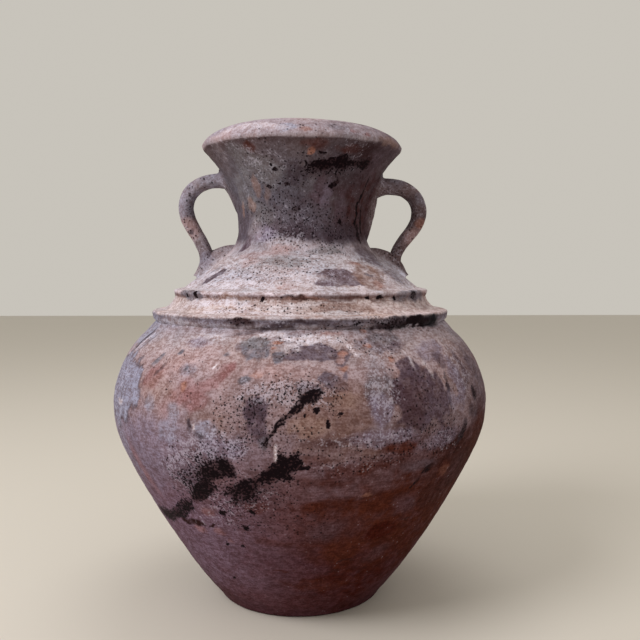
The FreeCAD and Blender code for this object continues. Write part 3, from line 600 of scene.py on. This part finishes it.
class Shader:
    """A few short calls for wiring a node material."""

    def __init__(self, name):
        self.material = bpy.data.materials.new(name)
        self.material.use_nodes = True
        self.tree = self.material.node_tree
        self.surface = self.tree.nodes["Principled BSDF"]

    def node(self, kind, inputs=None, **settings):
        made = self.tree.nodes.new(kind)
        for key, value in settings.items():
            setattr(made, key, value)
        for key, value in (inputs or {}).items():
            self.feed(made.inputs[key], value)
        return made

    def feed(self, socket, value):
        if isinstance(value, bpy.types.NodeSocket):
            self.tree.links.new(value, socket)
        else:
            socket.default_value = value

    def calc(self, kind, first, second):
        return self.node("ShaderNodeMath", {0: first, 1: second}, operation=kind).outputs[0]

    def plus(self, first, second):
        return self.calc("ADD", first, second)

    def minus(self, first, second):
        return self.calc("SUBTRACT", first, second)

    def times(self, first, second):
        return self.calc("MULTIPLY", first, second)

    def larger(self, first, second):
        return self.calc("MAXIMUM", first, second)

    def step(self, value, low, high):
        made = self.node("ShaderNodeMapRange", {"Value": value, "From Min": low, "From Max": high},
                         interpolation_type="SMOOTHSTEP")
        return made.outputs[0]

    def mix(self, share, first, second, blend="MIX"):
        made = self.node("ShaderNodeMix", {0: share, 6: first, 7: second}, data_type="RGBA",
                         blend_type=blend)
        return made.outputs[2]

    def noise(self, where, size, detail, rough):
        """Noise with lumps about size metres across."""
        return self.node("ShaderNodeTexNoise", {"Vector": where, "Scale": 1 / size,
                                                "Detail": detail, "Roughness": rough}).outputs[0]

    def spots(self, where, size, share, tear, low, high):
        """Round spots in that share of the cells of that size; tear roughens their outlines."""
        cells = self.node("ShaderNodeTexVoronoi", {"Vector": where, "Scale": 1 / size})
        chance = self.node("ShaderNodeSeparateColor", {0: cells.outputs["Color"]}).outputs[0]
        lucky = self.step(self.minus(share, chance), 0.0, 0.1)
        edge = self.plus(cells.outputs["Distance"], tear)
        return self.times(lucky, self.step(edge, high, low))

    def cover(self, colour, roughness, relief, strength, distance):
        """Feeds the surface, with relief as its bump, and gives the material."""
        bump = self.node("ShaderNodeBump", {"Height": relief, "Strength": strength, "Distance": distance})
        for name, value in (("Base Color", colour), ("Roughness", roughness), ("Normal", bump.outputs[0])):
            self.feed(self.surface.inputs[name], value)
        return self.material


def rgba(colour):
    return (*linear(colour), 1.0)


def clay(name, stretch=(0.14, 0.14, 1.0), contrast=1.0):
    """Weathered fired clay: the painted ground under flecks, lime, stipple and soot. Brush lines
    run the way in which stretch is small; contrast is that of the flecks."""
    shader = Shader(name)
    where = shader.node("ShaderNodeTexCoord").outputs["Object"]
    ground = shader.node("ShaderNodeAttribute", attribute_name="ground").outputs["Color"]
    layers = shader.node("ShaderNodeAttribute", attribute_name="layers").outputs["Color"]
    lime, soot, specks = shader.node("ShaderNodeSeparateColor", {0: layers}).outputs

    grain = shader.noise(where, 0.0024, 2.0, 0.6)
    blotch = shader.noise(where, 0.0075, 3.0, 0.65)
    brushed = shader.node("ShaderNodeVectorMath", {0: where, 1: stretch}, operation="MULTIPLY").outputs[0]
    streaks = shader.noise(brushed, 0.0020, 3.0, 0.6)
    spatter = shader.noise(where, 0.0026, 0.0, 0.5)

    # Flecks: the cool worn film over the warmer clay beneath
    fleck = shader.plus(shader.times(grain, 0.5), shader.times(blotch, 0.5))
    warm = shader.mix(contrast, ground, WARM_TINT, "MULTIPLY")
    cool = shader.mix(contrast, ground, COOL_TINT, "MULTIPLY")
    body = shader.mix(shader.step(fleck, 0.40, 0.60), warm, cool)
    body = shader.mix(shader.times(shader.step(streaks, 0.50, 0.68), 0.6), body, cool)
    body = shader.mix(shader.times(shader.step(streaks, 0.47, 0.34), 0.6), body, warm)

    # Lime wash: a broken film where it is thick and loose flecks where it is thin
    film = shader.step(shader.plus(fleck, shader.times(lime, 0.20)), 0.62, 0.70)
    pale = shader.mix(0.5, cool, rgba(PALETTE["lime"]))
    body = shader.mix(shader.times(film, 0.62), body, pale)

    # Black stipple and spatter, then the soot itself
    dirt = shader.larger(specks, shader.times(soot, 1.5))
    tear = shader.times(shader.minus(grain, 0.5), 0.55)
    fine = shader.spots(where, 0.0037, shader.times(dirt, 0.95), tear, 0.20, 0.38)
    finer = shader.spots(where, 0.0023, shader.times(dirt, 0.6), tear, 0.16, 0.36)
    drop = shader.spots(where, 0.0062, shader.times(dirt, 0.45), tear, 0.12, 0.24)
    dots = shader.larger(shader.larger(fine, finer), drop)
    edge = shader.plus(shader.times(soot, 1.35), shader.times(shader.minus(fleck, 0.5), 2.2))
    splashed = shader.times(shader.minus(spatter, 0.5), 1.8)
    solid = shader.step(shader.plus(edge, splashed), 0.66, 1.02)
    black = shader.larger(shader.times(dots, 0.86), solid)
    scorch = shader.step(shader.plus(soot, shader.times(fleck, 0.8)), 0.68, 1.28)
    body = shader.mix(shader.times(scorch, 0.92), body, rgba(PALETTE["scorch"]))
    body = shader.mix(shader.times(black, 0.985), body, rgba(PALETTE["soot"]))

    gloss = shader.minus(0.84, shader.times(black, 0.12))
    gloss = shader.minus(gloss, shader.times(shader.step(blotch, 0.35, 0.7), 0.12))
    relief = shader.plus(shader.times(grain, 0.5), shader.times(film, 0.35))
    relief = shader.plus(relief, shader.times(streaks, 0.4))
    relief = shader.minus(relief, shader.times(dots, 0.35))
    shader.surface.inputs["Specular IOR Level"].default_value = CLAY_SPECULAR
    return shader.cover(body, gloss, relief, 0.6, 0.0012)


def bare_clay(name):
    """Unwashed clay, for the slab of the base."""
    shader = Shader(name)
    where = shader.node("ShaderNodeTexCoord").outputs["Object"]
    coarse = shader.noise(where, 0.012, 4.0, 0.6)
    fine = shader.noise(where, 0.002, 3.0, 0.6)
    body = shader.mix(shader.step(coarse, 0.3, 0.7), rgba(PALETTE["bare_dark"]),
                      rgba(PALETTE["bare_light"]))
    return shader.cover(body, shader.step(fine, -0.6, 1.1), fine, 0.5, 0.001)


CLAY_SPECULAR = 0.045
# The stretch of brush lines that run down
DOWNWARD = (1.0, 1.0, 0.14)
MATERIALS = {
    "body_clay": clay("body_clay"),
    "shoulder_clay": clay("shoulder_clay"),
    "ridge_clay": clay("ridge_clay"),
    "neck_clay": clay("neck_clay", DOWNWARD, 0.65),
    "lip_clay": clay("lip_clay", DOWNWARD, 0.7),
    "handle_clay": clay("handle_clay", (0.5, 1.0, 0.5), 0.8),
}


# ---------------- meshes

# The lime's greatest thickness, the height above which the lip's inside shows, and the sharpest edge
# that is still shaded smooth
CRUST, LIP_TOP, SHARP_ANGLE = 0.00035, 0.597, math.radians(48)


def linked(name, data):
    """A new object of the scene that holds data."""
    made = bpy.data.objects.new(name, data)
    bpy.context.scene.collection.objects.link(made)
    return made


def new_piece(name, points, faces, slot, *nodes):
    """A smooth-shaded mesh that stands for CAD nodes. faces is an array of quads."""
    mesh = bpy.data.meshes.new(name)
    mesh.vertices.add(len(points))
    mesh.vertices.foreach_set("co", np.asarray(points, np.float32).ravel())
    mesh.loops.add(faces.size)
    mesh.loops.foreach_set("vertex_index", faces.astype(np.int32).ravel())
    mesh.polygons.add(len(faces))
    mesh.polygons.foreach_set("loop_start", np.arange(0, faces.size, 4, dtype=np.int32))
    mesh.update(calc_edges=True)
    mesh.validate()
    mesh.shade_smooth()
    mesh.set_sharp_from_angle(angle=SHARP_ANGLE)
    mesh.materials.append(MATERIALS[slot])
    piece = linked(name, mesh)
    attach(piece, "root")
    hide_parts(*nodes)
    return piece


def store_paint(piece, ground, layers):
    for name, values in (("ground", ground), ("layers", layers)):
        attribute = piece.data.attributes.new(name, "FLOAT_COLOR", "POINT")
        full = np.ones((len(values), 4), np.float32)
        full[:, :3] = values
        attribute.data.foreach_set("color", full.ravel())


def wrap_faces(rows, columns, closed_rows=True):
    """Quads of a grid that closes round its columns, and round its rows too if asked."""
    across, around = np.meshgrid(np.arange(rows if closed_rows else rows - 1), np.arange(columns),
                                 indexing="ij")
    below, beside = (across + 1) % rows, (around + 1) % columns
    corners = [across * columns + around, across * columns + beside,
               below * columns + beside, below * columns + around]
    return np.stack([corner.ravel() for corner in corners], axis=1)


def turned_ring(node):
    slot, steps, _ = RINGS[node]
    outline, shown = OUTLINES[node]
    azimuth = np.linspace(0, 2 * math.pi, steps, endpoint=False)
    radius, height = (outline * MM).T
    points = np.stack([np.outer(radius, np.sin(azimuth)), -np.outer(radius, np.cos(azimuth)),
                       np.outer(height, np.ones(steps))], axis=-1).reshape(-1, 3)
    visible = np.repeat(shown | (height > LIP_TOP), steps)
    ground, layers = painted(points, visible)
    crust = CRUST * smooth(0.3, 0.8, layers[:, 0]) * smooth(-0.5, 0.5, noise(points, 0.006, 60))
    points = worn(points, crust)
    points[:, 2] = np.maximum(points[:, 2], 0)
    piece = new_piece(node + "_clay", points, wrap_faces(len(outline), steps), slot, node)
    store_paint(piece, ground, layers)
    return piece


# ---------------- handles

# Stations down each handle's middle line: distance from the axis, height, thickness, width
STATIONS = {
    "left": ((86, 542, 25, 34), (97, 544, 20.5, 30), (108, 545, 18.6, 28), (122, 543.6, 18, 28),
             (138, 537, 18.5, 28), (149, 526, 19, 28), (153.3, 511, 19, 28), (151, 496, 19, 28),
             (143.5, 481, 18, 27), (134.5, 465.5, 17.5, 27), (128.3, 451, 17.5, 27),
             (127, 439, 18, 27), (129.6, 427, 20, 29), (133, 417, 24, 31)),
    "right": ((87, 533, 30, 34), (97, 536.5, 25.5, 31), (108, 538.7, 22.5, 29),
              (121.5, 538.9, 21, 28), (137, 535, 20, 28), (149, 525, 19.5, 28),
              (155.4, 510, 19, 27), (154, 494.5, 18, 27), (146.8, 481, 17, 26),
              (137.5, 469, 16, 25), (129, 457, 15, 24), (124.4, 445, 14.2, 23),
              (124.6, 434, 14.5, 24), (128.5, 425, 17, 26), (132.5, 417, 20, 28)),
}
OUTWARD = {"left": -1, "right": 1}
SECTION_STEPS = 72
SQUARENESS = 2.5
PRESSED_STEPS = 12
STRAP_ROW = 1.6
STRAP_TWIST = {"left": 0.0, "right": 0.45}
CREASE_DEPTH = {"left": 0.0004, "right": 0.0011}


def section_angles():
    return np.linspace(0, 2 * math.pi, SECTION_STEPS, endpoint=False)


def handle_rows(side):
    """Points of the strap's skin, row by row along it, its middle line and its outward normals."""
    line = spline(STATIONS[side], STRAP_ROW) * MM
    ahead = unit(np.gradient(line[:, :2], axis=0))
    angles = section_angles()
    power = 2 / SQUARENESS
    lift = np.sign(np.cos(angles)) * abs(np.cos(angles)) ** power
    spread = np.sign(np.sin(angles)) * abs(np.sin(angles)) ** power
    twist = STRAP_TWIST[side] * smooth(0.25, 0.75, np.linspace(0, 1, len(line)))
    flat = np.outer(line[:, 2] / 2, lift)
    wide = np.outer(line[:, 3] / 2, spread)
    up = flat * np.cos(twist)[:, None] - wide * np.sin(twist)[:, None] * 0.6
    aside = wide * np.cos(twist)[:, None] + flat * np.sin(twist)[:, None] * 0.6
    x = line[:, 0, None] - ahead[:, 1, None] * up
    z = line[:, 1, None] + ahead[:, 0, None] * up
    skin = np.stack([OUTWARD[side] * x, aside, z], axis=-1)
    middle = np.stack([OUTWARD[side] * line[:, 0], 0 * line[:, 0], line[:, 1]], axis=-1)
    normal = unit(skin - middle[:, None, :])
    points = skin.reshape(-1, 3)
    wear = (0.45 * noise(points, 0.03, 70) + 0.3 * noise(points, 0.012, 71)
            + 0.14 * noise(points, 0.005, 72)) * MM
    share = np.linspace(0, 1, len(line))[:, None]
    crease_turn = 0.5 + 1.2 * share
    crease = np.exp(-((np.angle(np.exp(1j * (angles[None] - crease_turn)))) / 0.22) ** 2)
    depth = CREASE_DEPTH[side] * crease * smooth(0.2, 0.45, share)
    return skin + normal * (wear.reshape(skin.shape[:2]) - depth)[..., None], middle, normal


def capped_tube(name, rows, slot, *nodes):
    """A tube of rows with both ends drawn in to a point inside the wall."""
    ends = [np.repeat(row.mean(axis=0, keepdims=True), rows.shape[1], axis=0)
            + (row - row.mean(axis=0)) * 0.02 for row in (rows[0], rows[-1])]
    rows = np.concatenate([ends[0][None], rows, ends[1][None]])
    points = rows.reshape(-1, 3)
    faces = wrap_faces(len(rows), rows.shape[1], closed_rows=False)
    return new_piece(name, points, faces, slot, *nodes)


def outside_of_wall(points):
    radius = np.interp(points[..., 2], PROFILE_HEIGHT, PROFILE_RADIUS)
    return np.hypot(points[..., 0], points[..., 1]) - radius


def pressed_clay(name, rows, middle, normal, at_root, node):
    """Clay pressed into the corner round one end of a handle: a ring that thins out to nothing on
    the strap and on the wall, with a tongue down the wall under the root.
    Known fault: a column whose first row is outside the wall already takes the strap's other end
    for the row before it. Its points then lie between the two ends, as a low dome on the neck's
    side of both feet, and a little at the right root."""
    if not at_root:
        rows, middle, normal = rows[::-1], middle[::-1], normal[::-1]
    gap = outside_of_wall(rows)
    columns = np.arange(rows.shape[1])
    crossing = np.argmax(gap > 0, axis=0)
    before = gap[crossing - 1, columns]
    share = (-before / (gap[crossing, columns] - before))[:, None]
    corner = rows[crossing - 1, columns] * (1 - share) + rows[crossing, columns] * share
    skin = normal[crossing, columns]
    axis = middle[crossing]

    azimuth, height = turn_of(corner), corner[:, 2]
    _, level, rise, out = wall_frame(azimuth, height)
    away = corner - axis
    away = unit(away - np.sum(away * out, axis=1, keepdims=True) * out)
    down = np.clip(-np.sum(away * rise, axis=1), 0, 1)
    if at_root:
        reach_strap = 7 + 3 * down
        reach_wall = 6 + 34 * down ** 3
    else:
        reach_strap = 6 + 2 * down
        reach_wall = 6 + 7 * down ** 2
    uneven = 1 + 0.2 * noise(corner, 0.014, 75 + at_root)
    reach_strap = np.minimum(reach_strap * uneven, 12) * MM
    reach_wall = (reach_wall * uneven * MM)[:, None]
    spacing = np.linalg.norm(middle[1] - middle[0])
    upper = np.clip(crossing + reach_strap / spacing, 0, len(rows) - 1).astype(int)
    top = rows[upper, columns]
    spread = corner + away * reach_wall
    far = wall_point(turn_of(spread), spread[:, 2])

    steps = np.linspace(0, 1, PRESSED_STEPS)[:, None, None]
    knee = corner + (out + skin) * 0.0009
    curve = (1 - steps) ** 2 * top + 2 * steps * (1 - steps) * knee + steps ** 2 * far
    curve = curve + 0.0005 * out * np.sin(math.pi * steps)
    _, _, _, far_out = wall_frame(turn_of(far), far[:, 2])
    curve[-1] = far - far_out * 0.0008
    inner = [far - far_out * 0.003, corner - out * 0.004 - skin * 0.002,
             top - normal[upper, columns] * 0.003]
    loop = np.concatenate([curve, np.stack(inner)])
    lumps = 0.0005 * noise(loop.reshape(-1, 3), 0.01, 76).reshape(loop.shape[:2])
    lumps[[0, -1, -2, -3]] = 0
    loop = loop + out[None] * lumps[..., None]
    return new_piece(name, loop.reshape(-1, 3), wrap_faces(*loop.shape[:2]), "handle_clay", node)


HANDLE_PAINT = {
    # colour, x outwards, height, half size, strength: patches all round the strap
    "left": (("lilac", 158, 520, 26, 0.5), ("char", 138, 505, 16, 0.4), ("pink", 150, 480, 16, 0.5),
             ("char", 146, 478, 4, 0.8), ("pale_blue", 118, 552, 20, 0.5), ("char", 131, 452, 14, 0.35),
             ("lilac", 126, 440, 12, 0.4)),
    "right": (("char", 120, 540, 30, 0.15), ("lilac", 118, 556, 24, 0.2),
              ("pale_blue", 158, 522, 9, 0.4), ("orange", 156, 490, 7, 0.8),
              ("pink", 146, 472, 12, 0.5), ("char", 148, 505, 20, 0.35), ("umber", 128, 445, 14, 0.35)),
}


def paint_handle_part(piece, side):
    points = np.array([vertex.co for vertex in piece.data.vertices])
    ragged = points + 0.003 * noise_vector(points, 0.012, 80)
    cloud = noise(ragged, 0.02, 83) + 0.5 * noise(ragged, 0.008, 84)
    # The strap's base colour; the right one's is darker, partly painted shade.
    base = linear(PALETTE[f"{side}_strap"])
    ground = base * (1 + 0.2 * cloud)[:, None]
    for name, x, height, size, strength in HANDLE_PAINT[side]:
        away = ragged[:, [0, 2]] - np.array([OUTWARD[side] * x, height]) * MM
        share = strength * smooth(1.3, 0.7, np.linalg.norm(away, axis=1) / (size * MM))
        ground = ground + (linear(PALETTE[name]) - ground) * share[:, None]
    wall, wall_layers = painted(points, np.ones(len(points), bool))
    near = smooth(0.007, 0.0, outside_of_wall(points))
    ground = ground * (1 - near)[:, None] + wall * near[:, None]
    own = np.stack([0.35 + 0.3 * cloud, 0.12 * smooth(0.2, 0.8, cloud), 0.3 + 0 * cloud], axis=1)
    layers = np.clip(own * (1 - near)[:, None] + wall_layers * near[:, None], 0, 1)
    store_paint(piece, np.clip(ground, DARKEST, PALEST), layers)


def build_handle(side):
    rows, middle, normal = handle_rows(side)
    parts = [
        capped_tube(f"{side}_handle_strap", rows, "handle_clay", f"{side}_handle"),
        pressed_clay(f"{side}_tongue_clay", rows, middle, normal, True, f"{side}_root_tongue"),
        pressed_clay(f"{side}_skirt_clay", rows, middle, normal, False, f"{side}_foot_skirt"),
    ]
    for part in parts:
        paint_handle_part(part, side)
        lean_with_neck(part)


def lean_with_neck(piece):
    """Leans the handle's points as worn() leans the neck's, so that they stay together."""
    points = leant(np.array([vertex.co for vertex in piece.data.vertices]))
    piece.data.vertices.foreach_set("co", points.astype(np.float32).ravel())


# ---------------- room

def area_light(name, place, target, size, power, colour):
    light = bpy.data.lights.new(name, "AREA")
    light.shape = "DISK"
    light.size = size
    light.energy = power
    light.color = colour
    lamp = linked(name, light)
    lamp.location = place
    lamp.rotation_euler = (Vector(target) - Vector(place)).to_track_quat("-Z", "Y").to_euler()


def studio():
    mesh = bpy.data.meshes.new("floor")
    half = 6
    corners = [(-half, -half, 0), (half, -half, 0), (half, half, 0), (-half, half, 0)]
    mesh.from_pydata(corners, [], [(0, 1, 2, 3)])
    floor = linked("floor", mesh)
    pale = bpy.data.materials.new("pale_floor")
    pale.use_nodes = True
    surface = pale.node_tree.nodes["Principled BSDF"].inputs
    surface["Base Color"].default_value = (0.64, 0.60, 0.54, 1)
    surface["Roughness"].default_value = 0.8
    mesh.materials.append(pale)

    world = bpy.data.worlds.new("pale_world")
    world.use_nodes = True
    sky = world.node_tree.nodes["Background"].inputs
    sky["Color"].default_value = (0.93, 0.885, 0.80, 1)
    sky["Strength"].default_value = 0.62
    bpy.context.scene.world = world
    area_light("key", (-1.7, -1.3, 2.1), (0, 0, 0.35), 1.3, 48, (1.0, 0.98, 0.98))
    area_light("fill", (1.8, -1.6, 1.3), (0, 0, 0.3), 1.6, 3, (1.0, 0.95, 0.9))
    area_light("top", (0.2, 0.6, 2.6), (0, 0, 0.4), 1.6, 10, (1.0, 0.98, 0.96))


SENSOR_WIDTH, FOCAL_LENGTH = 36, 43.875
EYE = (0, -1.044, 0.4312)
CAMERA_DIP, CAMERA_PAN = 3.84, -1.443


def camera():
    lens = bpy.data.cameras.new("camera")
    lens.sensor_width = SENSOR_WIDTH
    lens.lens = FOCAL_LENGTH
    eye = linked("camera", lens)
    eye.location = EYE
    eye.rotation_euler = (math.radians(90 - CAMERA_DIP), 0, math.radians(CAMERA_PAN))
    bpy.context.scene.camera = eye


for node in RINGS:
    turned_ring(node)
for side in STATIONS:
    build_handle(side)
base_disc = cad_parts["base_disc"]
base_disc.data.materials.clear()
base_disc.data.materials.append(bare_clay("base_clay"))
studio()
camera()
bpy.context.scene.view_settings.view_transform = "Standard"
